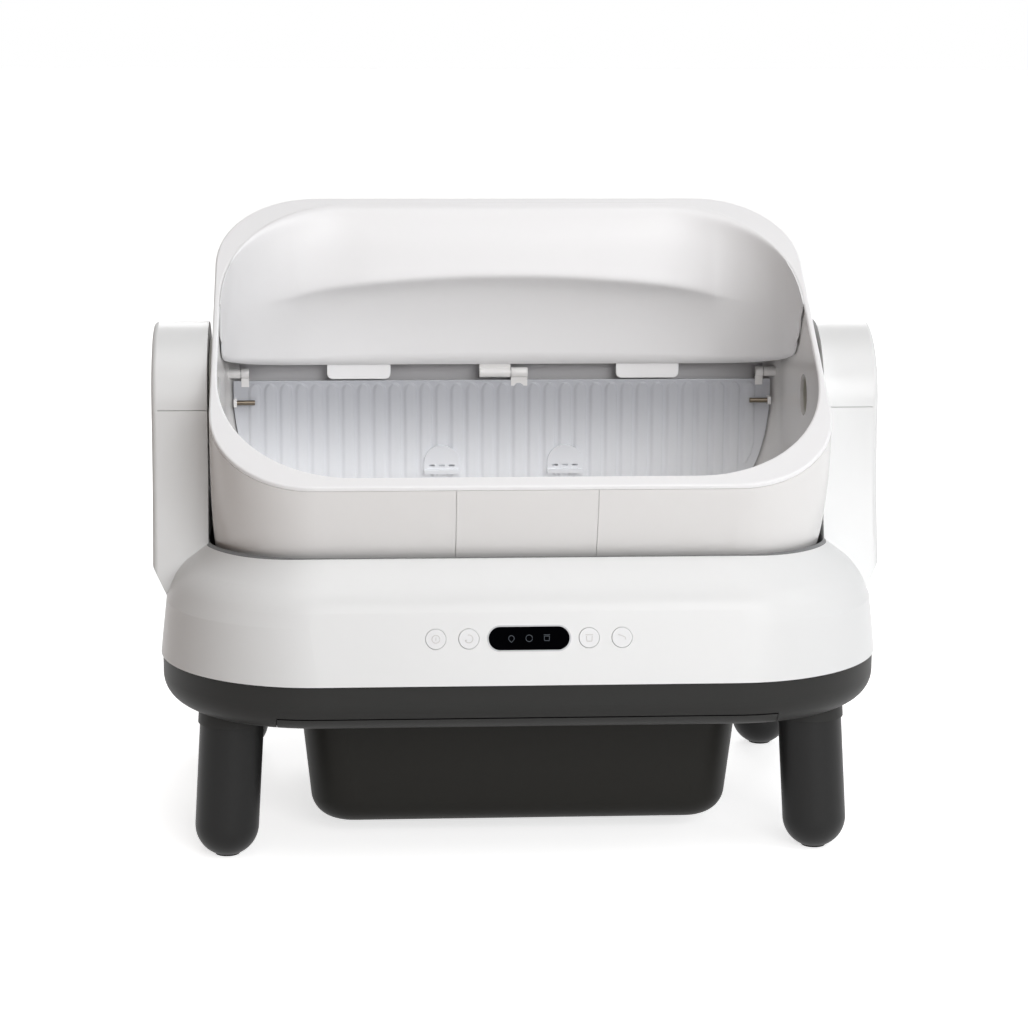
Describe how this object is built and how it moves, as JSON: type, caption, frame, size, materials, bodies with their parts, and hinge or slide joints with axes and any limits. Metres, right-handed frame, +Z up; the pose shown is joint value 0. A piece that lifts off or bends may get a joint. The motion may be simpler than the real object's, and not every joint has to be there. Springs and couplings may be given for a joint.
{
  "type": "self-cleaning litter box",
  "caption": "Open-top self-cleaning litter box: a tilted drum turns between two towers over a slide-out waste bin on four dark legs.",
  "frame": {"origin": "On the floor under the drum's axis, at the middle of the footprint", "axes": "X to the right as seen from the front, Y to the back, Z up"},
  "size_m": [0.606, 0.4604, 0.5101],
  "materials": {
    "white_casing": "smooth semi-gloss",
    "drum_white": "smooth semi-gloss",
    "flap_white": "satin",
    "button_white": "satin",
    "inner_grey": "satin",
    "pan_grey": "fine matte",
    "bin_grey": "fine matte",
    "leg_grey": "fine matte",
    "foot_rubber": "matte",
    "display_black": "gloss",
    "bezel_grey": "satin",
    "board_green": "satin",
    "gear_plastic": "satin",
    "gearbox_black": "satin",
    "steel": "brushed",
    "pin_bronze": "satin"
  },
  "bodies": {
    "base": {"base_shell": "white_casing", "right_tower_housing": "white_casing", "left_tower_housing": "white_casing", "right_tower_cap": "white_casing", "left_tower_cap": "white_casing", "right_side_cover": "white_casing", "left_side_cover": "white_casing", "cradle": "inner_grey", "chute": "inner_grey", "base_pan": "pan_grey", "left_bin_rail": "bin_grey", "right_bin_rail": "bin_grey", "front_left_leg": "leg_grey", "front_right_leg": "leg_grey", "rear_left_leg": "leg_grey", "rear_right_leg": "leg_grey", "front_left_foot_pad": "foot_rubber", "front_right_foot_pad": "foot_rubber", "rear_left_foot_pad": "foot_rubber", "rear_right_foot_pad": "foot_rubber", "display_window": "display_black", "display_bezel": "bezel_grey", "control_board": "board_green", "right_bush": "gear_plastic", "left_bush": "gear_plastic", "gearbox": "gearbox_black", "home_sensor": "gearbox_black", "power_inlet": "gearbox_black", "pan_screws": "steel", "drive_motor": "steel", "load_cells": "steel"},
    "drum": {"drum_shell": "drum_white", "front_panel": "drum_white", "drum_rim": "drum_white", "hood": "drum_white", "hood_lug": "drum_white", "left_hood_tab": "drum_white", "right_hood_tab": "drum_white", "hinge_pins": "steel", "right_hub": "gear_plastic", "left_hub": "gear_plastic", "home_magnet": "steel", "drum_gear": "gear_plastic"},
    "pinion": {"pinion": "gear_plastic", "pinion_shaft": "steel"},
    "flap": {"flap": "flap_white", "left_finger_tab": "flap_white", "right_finger_tab": "flap_white", "keeper_pins": "pin_bronze"},
    "bin": {"waste_bin": "bin_grey", "bin_lip": "pan_grey"},
    "left_outer_button_body": {"left_outer_button": "button_white"},
    "left_inner_button_body": {"left_inner_button": "button_white"},
    "right_inner_button_body": {"right_inner_button": "button_white"},
    "right_outer_button_body": {"right_outer_button": "button_white"}
  },
  "joints": [
    {"name": "drum_turn", "type": "hinge", "parent": "base", "child": "drum", "pos_m": [0, 0, 0.353], "axis": [1, 0, 0], "range_deg": [-215, 150]},
    {"name": "pinion_turn", "type": "hinge", "parent": "base", "child": "pinion", "pos_m": [0.292, 0, 0.278], "axis": [1, 0, 0], "range_deg": [-430, 610]},
    {"name": "flap_swing", "type": "hinge", "parent": "drum", "child": "flap", "pos_m": [0, 0.142, 0.352], "axis": [1, 0, 0], "range_deg": [-75, 0]},
    {"name": "bin_slide", "type": "slide", "parent": "base", "child": "bin", "axis": [0, -1, 0], "range_m": [0, 0.3]},
    {"name": "left_outer_button_press", "type": "slide", "parent": "base", "child": "left_outer_button_body", "axis": [0, 0.9693, -0.2459], "range_m": [0, 0.001], "stiffness_N_per_m": 900},
    {"name": "left_inner_button_press", "type": "slide", "parent": "base", "child": "left_inner_button_body", "axis": [0, 0.9693, -0.2459], "range_m": [0, 0.001], "stiffness_N_per_m": 900},
    {"name": "right_inner_button_press", "type": "slide", "parent": "base", "child": "right_inner_button_body", "axis": [0, 0.9693, -0.2459], "range_m": [0, 0.001], "stiffness_N_per_m": 900},
    {"name": "right_outer_button_press", "type": "slide", "parent": "base", "child": "right_outer_button_body", "axis": [0, 0.9693, -0.2459], "range_m": [0, 0.001], "stiffness_N_per_m": 900}
  ],
  "couplings": [
    {"joint": "pinion_turn", "follows": "drum_turn", "ratio": -2.75}
  ]
}
